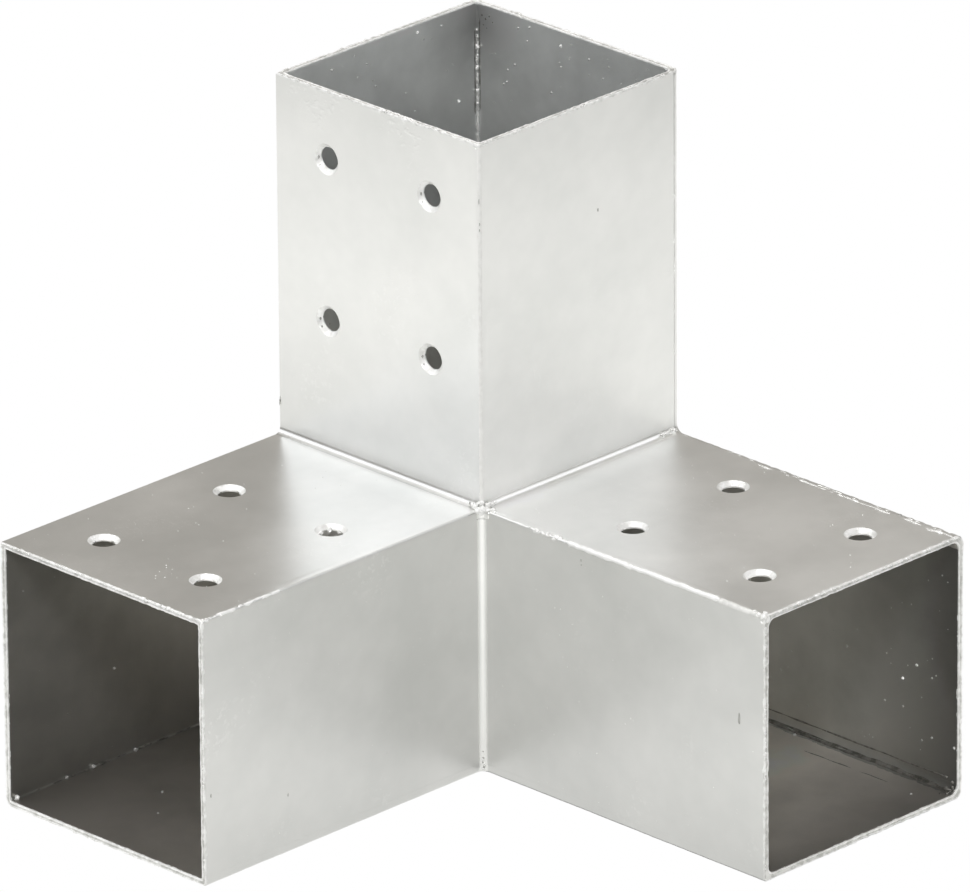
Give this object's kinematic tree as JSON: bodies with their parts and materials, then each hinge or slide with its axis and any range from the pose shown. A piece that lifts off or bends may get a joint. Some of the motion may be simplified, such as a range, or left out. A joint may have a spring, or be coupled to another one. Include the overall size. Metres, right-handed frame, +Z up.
{
  "type": "y-shaped post connector",
  "caption": "Y-shaped corner connector of galvanised sheet steel: an upright square sleeve and level arms meet at right angles, with countersunk screw holes to fix timber posts.",
  "frame": {"origin": "on the axis of the upright sleeve, at the underside of the floor plate", "axes": "+Z up along the upright sleeve, +X along the left arm and +Y along the right arm"},
  "size_m": [0.225, 0.2256, 0.225],
  "materials": {
    "zinc_sheet": "hot-dip galvanised sheet steel, satin",
    "zinc_weld": "weld bead under hot-dip zinc, lumpy and bright"
  },
  "bodies": {
    "root": {"left_wall_plate": "zinc_sheet", "right_wall_plate": "zinc_sheet", "floor_plate": "zinc_sheet", "left_top_strip": "zinc_sheet", "right_top_strip": "zinc_sheet", "inner_side_strip": "zinc_sheet", "weld_left_wall": "zinc_weld", "weld_right_wall": "zinc_weld", "weld_floor": "zinc_weld", "weld_rear_upright": "zinc_weld", "weld_rear_left": "zinc_weld", "weld_rear_right": "zinc_weld", "weld_front_upright": "zinc_weld", "weld_front_left": "zinc_weld", "weld_front_right": "zinc_weld", "weld_front_corner": "zinc_weld"}
  },
  "joints": []
}
